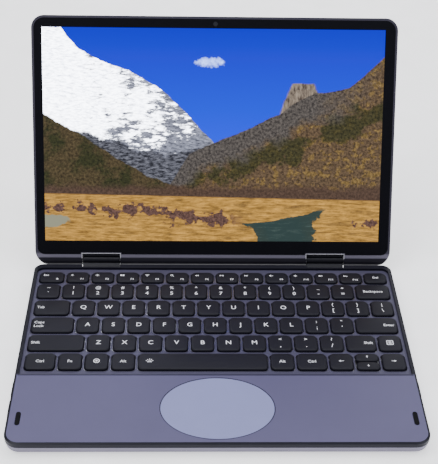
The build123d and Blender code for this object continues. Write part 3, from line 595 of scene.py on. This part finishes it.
def add_sign(shape, box, sign):
    what, dx, dy, size, align = sign
    middle_x = (box[0][0] + box[1][0]) / 2 + dx * MM
    middle_y = (box[0][1] + box[1][1]) / 2 + dy * MM
    if what.startswith("icon:"):
        parts = ICONS[what[5:]]
        scale = size * MM
        drop = 0.0
    else:
        parts = [text_shape(what, size, INK_BOLD * size)]
        scale = MM
        drop = HALF_LETTER * size * MM
    for points, faces in parts:
        shift = middle_x
        if align == "left":
            shift = box[0][0] + EDGE_SPACE - min(p[0] for p in points) * scale
        elif align == "right":
            shift = box[1][0] - EDGE_SPACE - max(p[0] for p in points) * scale
        placed = []
        for px, py, _ in points:
            x, y = px * scale + shift, py * scale + middle_y - drop
            placed.append((x, y, box[1][2] + INK_RISE))
        shape.add(placed, faces)


def add_keys():
    for node, signs in LEGENDS.items():
        caps, ink = Shape(), Shape()
        for box, legend in zip(islands(NODES[node]), signs, strict=True):
            add_cap(caps, box)
            for sign in legend:
                add_sign(ink, box, sign)
        cap_piece = make_piece(node + "_caps", caps.points, caps.faces, "key_plastic", node,
                               60)
        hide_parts(node)
        make_piece(node + "_legends", ink.points, ink.faces, "legend_ink", node)


# ---- Painted shade in the base's seams, and painted shade and highlights at the hinge notches ---

# distance from the pad's outline and height, in mm: a dark ring of painted shade in the groove that laps the palm
# rest's edge
GROOVE_PROFILE = ((0.03, 9.5), (0.03, 10.16), (0.58, 10.22), (0.58, 10.10))
# size of the strip of painted shade along the palm rest's rear edge
SHADE_STRIP_WIDE = 1.35 * MM
SHADE_STRIP_END = 0.3 * MM
THIN = 0.02 * MM


def add_pad_groove_shade():
    """Dark ring of painted shade in the groove round the oval pad."""
    low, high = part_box("touchpad")
    rings = []
    for grow, z in GROOVE_PROFILE:
        half_x, half_y = ((high[axis] - low[axis]) / 2 + grow * MM for axis in (0, 1))
        rings.append(oval_ring((low[0] + high[0]) / 2, (low[1] + high[1]) / 2, half_x, half_y, z * MM, 160))
    groove = Shape()
    groove.loft(rings + rings[:1], cap_last=False)
    make_piece("pad_groove", groove.points, groove.faces, "painted_groove_shade", "base")


def add_palm_edge_shade():
    """Painted shade: a darker strip along the palm rest's rear edge, where it steps down to the keyboard plate."""
    low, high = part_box("palm_rest")
    shade_strip = Shape()
    shade_strip.add(*brick(low[0] + SHADE_STRIP_END, high[0] - SHADE_STRIP_END, high[1] - SHADE_STRIP_WIDE, high[1] - THIN,
                     high[2] - 0.1 * MM, high[2] + THIN))
    make_piece("palm_edge_shade", shade_strip.points, shade_strip.faces, "palm_edge_shade", "base")


# the notches in the lid's lower edge: distances from the middle, and height above the lid's axis
NOTCH_NEAR = 63.8 * MM
NOTCH_FAR = 89.6 * MM
NOTCH_TOP = 4.7 * MM
INFILL_SIDE = 0.05 * MM    # gap at the infill's ends
INFILL_LOW = 3.0 * MM      # clear of the hinge housing, whose barrel turns about the lid's axis
INFILL_BACK = -3.0 * MM
INFILL_FRONT = 2.9 * MM
EDGE_WIDE = 0.40 * MM
EDGE_LOW = 1.4 * MM
EDGE_SINK = 0.1 * MM
EDGE_RISE = 0.03 * MM


def add_notch_trim():
    """Dark infill over each hinge housing, standing as painted shade in the top of its notch, and bright strips
    painted as the highlight on the notch's polished cut edges.
    """
    infill, edges = Shape(), Shape()
    for side in (-1, 1):
        x0, x1 = sorted((side * NOTCH_NEAR, side * NOTCH_FAR))
        # painted shade: a dark block in the hinge housing's colour fills the notch above the housing
        points, faces = brick(x0 + INFILL_SIDE, x1 - INFILL_SIDE, INFILL_LOW, NOTCH_TOP - EDGE_RISE,
                              INFILL_BACK, INFILL_FRONT)
        infill.add(on_lid(points), faces)
        # bright strips painted as the highlight along the notch's polished cut edges
        for across, up in (((x0 - EDGE_WIDE, x1 + EDGE_WIDE), (NOTCH_TOP, NOTCH_TOP + EDGE_WIDE)),
                           ((x0 - EDGE_WIDE, x0), (EDGE_LOW, NOTCH_TOP)),
                           ((x1, x1 + EDGE_WIDE), (EDGE_LOW, NOTCH_TOP))):
            points, faces = brick(*across, *up, GLASS_Z - EDGE_SINK, GLASS_Z + EDGE_RISE)
            edges.add(on_lid(points), faces)
    make_piece("notch_shade_infill", infill.points, infill.faces, "hinge_metal", "lid")
    make_piece("notch_edge_highlights", edges.points, edges.faces, "painted_edge_highlight", "lid")


# ---- Picture on the screen -------------------------------------------------------------

DISPLAY_LEFT = -114.5 * MM
DISPLAY_WIDE = 227.5 * MM
DISPLAY_HIGH = 143.0 * MM
DISPLAY_TOP = LID_TOP - 7.7 * MM
PICTURE_RISE = 0.03 * MM
PICTURE_THICK = 0.02 * MM


class Landscape(Net):
    """Plain mountain valley: sky, a snowy peak, two slopes, a dry plain and a stream.

    Places in the picture run from 0 to 1, from left to right and from bottom to top.
    Each part is painted over the one before it.
    """

    def __init__(self, material):
        super().__init__(material)
        self.uv = self.node("ShaderNodeTexCoord").outputs["UV"]
        axes = self.node("ShaderNodeSeparateXYZ")
        self.put(axes.inputs[0], self.uv)
        self.across, self.height = axes.outputs[0], axes.outputs[1]
        self.broad = self.stretch(self.uv, (1.6, 1.0, 1.0))     # as wide as it is high
        self.flat = self.stretch(self.uv, (1.6, 6.5, 1.0))      # squeezed, for the plain
        self.wobble = self.minus(self.noise(self.broad, 11.0, 8.0, 0.65), 0.5)
        self.scree = self.spread(self.noise(self.broad, 80.0, 7.0, 0.75), 0.36, 0.64)
        self.clump = self.spread(self.noise(self.broad, 26.0, 6.0, 0.7), 0.36, 0.64)
        self.patches = self.noise(self.broad, 6.0, 7.0, 0.62)
        self.slanted = self.slanted_place()
        self.fine_streaks = self.noise(self.slanted, 34.0, 8.0, 0.72, 0.2)
        self.tufts = self.noise(self.flat, 13.0, 9.0, 0.72)
        self.picture = self.sky()

    def plus(self, first, second):
        return self.math("ADD", first, second)

    def minus(self, first, second):
        return self.math("SUBTRACT", first, second)

    def times(self, first, second):
        return self.math("MULTIPLY", first, second)

    def away(self, value, middle):
        return self.math("ABSOLUTE", self.minus(value, middle))

    def slanted_place(self):
        """Place turned and squeezed so that noise makes streaks down the peak's face."""
        slant = self.node("ShaderNodeMapping")
        self.put(slant.inputs["Vector"], self.broad)
        slant.inputs["Rotation"].default_value = (0, 0, math.radians(40))
        slant.inputs["Scale"].default_value = (1.0, 3.4, 1.0)
        return slant.outputs["Vector"]

    def skyline(self, value, points):
        """Straight runs through a few points."""
        made = self.node("ShaderNodeFloatCurve")
        self.put(made.inputs["Value"], value)
        line = made.mapping.curves[0]
        line.points[0].location = points[0]
        line.points[1].location = points[-1]
        for x, y in points[1:-1]:
            line.points.new(x, y)
        for point in line.points:
            point.handle_type = "VECTOR"
        made.mapping.update()
        return made.outputs["Value"]

    def jagged(self, line, share):
        return self.plus(line, self.times(self.wobble, share))

    def below(self, line, soft):
        """1 under a skyline, 0 over it."""
        return self.spread(self.minus(line, self.height), -soft, soft, smooth=True)

    def paint(self, where, color):
        self.picture = self.mix(where, self.picture, color)

    def sky(self):
        blue = self.mix(self.spread(self.height, 0.48, 1.0), (0.003, 0.048, 1.50), (0.0, 0.0008, 0.86))
        x = self.times(self.minus(self.across, 0.49), 21.0)
        y = self.times(self.minus(self.height, 0.845), 36.0)
        far = self.plus(self.times(x, x), self.times(y, y))
        cloud = self.minus(self.noise(self.broad, 30.0, 7.0, 0.62), self.times(far, 0.28))
        return self.mix(self.spread(cloud, 0.24, 0.62), blue, (1.3, 1.9, 4.2))

    def snowy_peak(self):
        """Snow in streaks, with bare rock to the peak's foot and right edge."""
        streaks = self.noise(self.slanted, 13.0, 9.0, 0.70, 0.35)
        blotch = self.noise(self.broad, 7.0, 8.0, 0.66)
        cover = self.plus(self.times(streaks, 0.60), self.times(blotch, 0.40))
        cover = self.plus(cover, self.spread(self.across, 0.0, 0.50, 0.13, -0.07))
        cover = self.plus(cover, self.spread(self.height, 0.38, 0.50, -0.14, 0.0))
        stone = self.mix(self.spread(self.fine_streaks, 0.36, 0.66),
                         (0.045, 0.047, 0.062), (0.62, 0.66, 0.86))
        bright = self.mix(self.spread(self.fine_streaks, 0.33, 0.56), (1.6, 1.8, 2.7), (9.0, 9.4, 10.5))
        snow = self.mix(self.spread(cover, 0.485, 0.53), stone, bright)
        line = self.skyline(self.across, (
            (0.0, 1.0), (0.055, 1.0), (0.075, 0.955), (0.105, 0.905), (0.17, 0.845), (0.25, 0.805),
            (0.285, 0.775), (0.35, 0.715), (0.40, 0.64), (0.45, 0.555), (0.50, 0.475), (0.62, 0.30),
            (1.0, 0.1)))
        self.paint(self.below(self.jagged(line, 0.035), 0.003), snow)

    def crags(self):
        """Low dark crags where the two slopes meet."""
        stone = self.mix(self.spread(self.fine_streaks, 0.42, 0.66),
                         (0.020, 0.021, 0.028), (0.30, 0.31, 0.38))
        line = self.skyline(self.across, (
            (0.0, 0.55), (0.12, 0.52), (0.22, 0.475), (0.30, 0.43), (0.36, 0.41), (0.43, 0.44), (0.50, 0.46),
            (0.60, 0.30), (1.0, 0.1)))
        self.paint(self.below(self.jagged(line, 0.16), 0.012), stone)

    def tower(self):
        """Block of bare rock on the right slope's shoulder."""
        wall = self.jagged(self.spread(self.height, 0.62, 0.745, 0.066, 0.034), 0.025)
        inside = self.spread(self.minus(wall, self.away(self.across, 0.762)), -0.003, 0.003)
        ribs = self.noise(self.stretch(self.broad, (5.0, 1.4, 1.0)), 14.0, 7.0, 0.72)
        rock = self.mix(self.spread(ribs, 0.38, 0.62), (0.070, 0.052, 0.042), (0.47, 0.38, 0.29))
        self.paint(self.times(inside, self.below(self.jagged(0.752, 0.03), 0.003)), rock)

    def right_slope(self):
        """Brown scree and dry grass, a dark green thicket across it, and a grey ridge."""
        earth = self.mix(self.scree, (0.030, 0.019, 0.011), (0.235, 0.155, 0.085))
        thicket = self.mix(self.scree, (0.009, 0.012, 0.004), (0.080, 0.082, 0.027))
        straw = self.mix(self.scree, (0.060, 0.038, 0.012), (0.42, 0.27, 0.09))
        grey = self.mix(self.scree, (0.014, 0.012, 0.012), (0.200, 0.175, 0.155))
        slope = self.mix(self.spread(self.clump, 0.56, 0.72), earth, straw)
        from_thicket = self.away(self.height, self.spread(self.across, 0.5, 1.0, 0.33, 0.60))
        green = self.plus(self.patches, self.times(self.clump, 0.10))
        green = self.minus(green, self.times(from_thicket, 1.6))
        slope = self.mix(self.spread(green, 0.45, 0.53, 0.0, 0.85), slope, thicket)
        line = self.jagged(self.skyline(self.across, (
            (0.0, 0.08), (0.36, 0.24), (0.43, 0.42), (0.50, 0.47), (0.55, 0.50), (0.60, 0.535), (0.70, 0.61),
            (0.735, 0.655), (0.80, 0.705), (0.86, 0.715), (0.90, 0.735), (0.94, 0.785), (1.0, 0.875))), 0.030)
        depth = self.jagged(self.minus(line, self.height), 0.22)
        bare = self.times(self.spread(depth, 0.15, 0.08), self.spread(self.across, 1.0, 0.80))
        self.paint(self.below(line, 0.003), self.mix(bare, slope, grey))

    def left_slope(self):
        wood = self.mix(self.scree, (0.024, 0.018, 0.008), (0.150, 0.112, 0.052))
        pines = self.mix(self.scree, (0.012, 0.015, 0.005), (0.070, 0.072, 0.026))
        wood = self.mix(self.spread(self.patches, 0.47, 0.56), wood, pines)
        line = self.skyline(self.across, (
            (0.0, 0.60), (0.05, 0.555), (0.10, 0.515), (0.20, 0.405), (0.30, 0.32), (0.40, 0.25),
            (0.50, 0.20), (1.0, 0.0)))
        self.paint(self.below(self.jagged(line, 0.05), 0.004), wood)

    def foot_of_hills(self):
        earth = self.mix(self.scree, (0.050, 0.030, 0.020), (0.150, 0.092, 0.062))
        self.paint(self.below(self.jagged(0.262, 0.07), 0.02), earth)

    def plain(self):
        """Dry grass, with darker ground towards the front."""
        gold = self.mix(self.spread(self.tufts, 0.36, 0.64), (0.20, 0.105, 0.025), (1.15, 0.60, 0.11))
        gold = self.mix(self.times(self.scree, 0.30), gold, (0.30, 0.17, 0.045))
        self.paint(self.below(self.spread(self.across, 0.0, 1.0, 0.226, 0.198), 0.004), gold)
        shade = self.times(self.spread(self.noise(self.flat, 6.0, 7.0, 0.7), 0.53, 0.60),
                           self.below(0.19, 0.01))
        self.paint(self.times(shade, 0.7), self.mix(self.scree, (0.10, 0.055, 0.02), (0.42, 0.24, 0.07)))

    def bushes(self):
        """A band of bushes on the left and a few at the right edge."""
        band = self.away(self.height, self.spread(self.across, 0.15, 0.58, 0.160, 0.095))
        left = self.minus(self.noise(self.broad, 21.0, 6.0, 0.60), self.times(band, 5.0))
        left = self.plus(left, self.spread(self.across, 0.10, 0.22, -0.06, 0.0))
        left = self.times(self.spread(left, 0.36, 0.41), self.spread(self.across, 0.60, 0.54))
        far = self.plus(self.times(self.away(self.across, 0.975), 4.0),
                        self.times(self.away(self.height, 0.09), 6.0))
        right = self.spread(self.minus(self.noise(self.broad, 24.0, 6.0, 0.6), far), 0.33, 0.38)
        self.paint(self.math("MAXIMUM", left, right),
                   self.mix(self.scree, (0.040, 0.020, 0.018), (0.240, 0.130, 0.100)))

    def stream(self):
        middle = self.skyline(self.height, (
            (0.0, 0.725), (0.05, 0.72), (0.085, 0.70), (0.10, 0.745), (0.13, 0.80), (0.17, 0.85),
            (1.0, 0.9)))
        reach = self.skyline(self.height, (
            (0.0, 0.085), (0.04, 0.095), (0.085, 0.11), (0.10, 0.06), (0.13, 0.022), (0.165, 0.0),
            (1.0, 0.0)))
        inside = self.minus(self.jagged(reach, 0.11), self.away(self.across, middle))
        water = self.mix(self.spread(inside, 0.0, 0.05), (0.045, 0.066, 0.054), (0.034, 0.064, 0.060))
        water = self.mix(self.spread(self.tufts, 0.52, 0.66), water, (0.07, 0.11, 0.10))
        self.paint(self.times(self.spread(inside, 0.0, 0.006), self.below(0.155, 0.01)), water)

    def pond(self):
        x = self.times(self.across, 14.0)
        y = self.times(self.minus(self.height, 0.095), 30.0)
        far = self.plus(self.times(x, x), self.times(y, y))
        self.paint(self.spread(self.jagged(far, 3.0), 1.0, 0.8), (0.36, 0.36, 0.25))


def landscape():
    """The lit display, seen through its glass."""
    material = bpy.data.materials.new("landscape")
    material.use_nodes = True
    view = Landscape(material)
    for part in (view.snowy_peak, view.crags, view.tower, view.right_slope, view.left_slope,
                 view.foot_of_hills, view.plain, view.bushes, view.stream, view.pond):
        part()
    view.put(view.shader.inputs["Base Color"], (0.004, 0.004, 0.006))
    view.put(view.shader.inputs["Emission Color"], view.picture)
    view.shader.inputs["Emission Strength"].default_value = 1.0
    view.shader.inputs["Roughness"].default_value = 0.10
    view.shader.inputs["Specular IOR Level"].default_value = 0.12
    return material


def add_picture():
    z = GLASS_Z + PICTURE_RISE
    x0, x1 = DISPLAY_LEFT, DISPLAY_LEFT + DISPLAY_WIDE
    y0, y1 = DISPLAY_TOP - DISPLAY_HIGH, DISPLAY_TOP
    shape = Shape()
    points, faces = brick(x0, x1, y0, y1, z - PICTURE_THICK, z)
    shape.add(on_lid(points), faces)
    MATERIALS["landscape"] = landscape()
    piece = make_piece("screen_picture", shape.points, shape.faces, "landscape", "lid")
    layer = piece.data.uv_layers.new(name="picture")
    back = LID.inverted()
    for loop in piece.data.loops:
        spot = back @ piece.data.vertices[loop.vertex_index].co
        layer.data[loop.index].uv = ((spot.x - x0) / DISPLAY_WIDE, (spot.y - y0) / DISPLAY_HIGH)


LENS_Y = LID_TOP - 4.8 * MM
# radius and height over the glass, in mm, from the rim inwards
LENS_PROFILE = ((1.5, 0.0), (1.5, 0.04), (1.1, 0.05), (0.6, 0.03))


def add_camera_lens():
    """Lens behind the glass, drawn as a dark bead with a thin ring."""
    shape = Shape()
    rings = []
    for radius, rise in LENS_PROFILE:
        rings.append(on_lid(oval_ring(0, LENS_Y, radius * MM, radius * MM, GLASS_Z + rise * MM, 32)))
    shape.loft(rings, cap_first=True)
    make_piece("camera_lens", shape.points, shape.faces, "lens", "lid")


# ---- Finish ----------------------------------------------------------------------------

add_camera()
add_studio()
add_sky()
add_floor()
dress_nodes()
add_keys()
add_pad_groove_shade()
add_palm_edge_shade()
add_notch_trim()
add_picture()
add_camera_lens()
